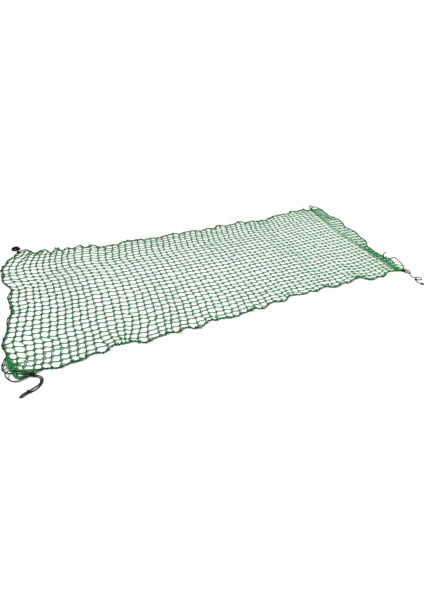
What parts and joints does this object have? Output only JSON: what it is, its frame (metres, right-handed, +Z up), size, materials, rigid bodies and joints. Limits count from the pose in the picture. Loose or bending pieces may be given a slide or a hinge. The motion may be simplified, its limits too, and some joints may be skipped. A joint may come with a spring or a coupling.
{
  "type": "cargo climbing net",
  "caption": "Flat square-mesh climbing net of knotted twine, with a border rope laced through its edge meshes, knotted corners and rope tails.",
  "frame": {"origin": "middle of the net's underside, as it lies flat without its loose rope ends, on the ground", "axes": "+X along the net's long side, +Y across it, +Z up from the ground"},
  "size_m": [3.2357, 1.6658, 0.0221],
  "materials": {
    "netting_twine": "laid plastic-fibre twine, slightly glossy",
    "border_rope": "laid dark rope, matte"
  },
  "bodies": {
    "net": {"near_edge_meshes": "netting_twine", "far_edge_meshes": "netting_twine", "left_edge_meshes": "netting_twine", "right_edge_meshes": "netting_twine", "crosswise_twines_1": "netting_twine", "crosswise_twines_2": "netting_twine", "crosswise_twines_3": "netting_twine", "crosswise_twines_4": "netting_twine", "crosswise_twines_5": "netting_twine", "crosswise_twines_6": "netting_twine", "crosswise_twines_7": "netting_twine", "lengthwise_twines_1": "netting_twine", "lengthwise_twines_2": "netting_twine", "lengthwise_twines_3": "netting_twine", "lengthwise_twines_4": "netting_twine", "lengthwise_twines_5": "netting_twine", "near_edge_rope": "border_rope", "far_edge_rope": "border_rope", "left_edge_rope": "border_rope", "right_edge_rope": "border_rope", "near_left_knot": "border_rope", "near_right_knot": "border_rope", "far_left_knot": "border_rope", "far_right_knot": "border_rope", "right_join_knot": "border_rope", "far_edge_hitch": "border_rope", "far_edge_spare_end": "border_rope", "join_end_long": "border_rope", "join_end_short": "border_rope"},
    "near_left_tail_end": {"near_left_tail_outer": "border_rope", "near_left_tail_inner": "border_rope", "near_left_tail_knot": "border_rope"},
    "near_right_tail_end": {"near_right_tail": "border_rope", "near_right_slip_knot": "border_rope", "near_right_end_knot": "border_rope"},
    "far_left_tail_end": {"far_left_tail": "border_rope", "far_left_coil": "border_rope"},
    "far_right_tail_end": {"far_right_tail": "border_rope", "far_right_tail_knot": "border_rope"}
  },
  "joints": [
    {"name": "near_left_tail_swing", "type": "hinge", "parent": "net", "child": "near_left_tail_end", "pos_m": [-1.415, -0.695, 0.0087], "axis": [0, 0, 1], "range_deg": [-50, 12]},
    {"name": "near_right_tail_swing", "type": "hinge", "parent": "net", "child": "near_right_tail_end", "pos_m": [1.462, -0.689, 0.0087], "axis": [0, 0, 1], "range_deg": [-45, 8]},
    {"name": "far_left_tail_swing", "type": "hinge", "parent": "net", "child": "far_left_tail_end", "pos_m": [-1.508, 0.668, 0.0087], "axis": [0, 0, 1], "range_deg": [-30, 60]},
    {"name": "far_right_tail_swing", "type": "hinge", "parent": "net", "child": "far_right_tail_end", "pos_m": [1.486, 0.606, 0.0087], "axis": [0, 0, 1], "range_deg": [-10, 60]}
  ]
}
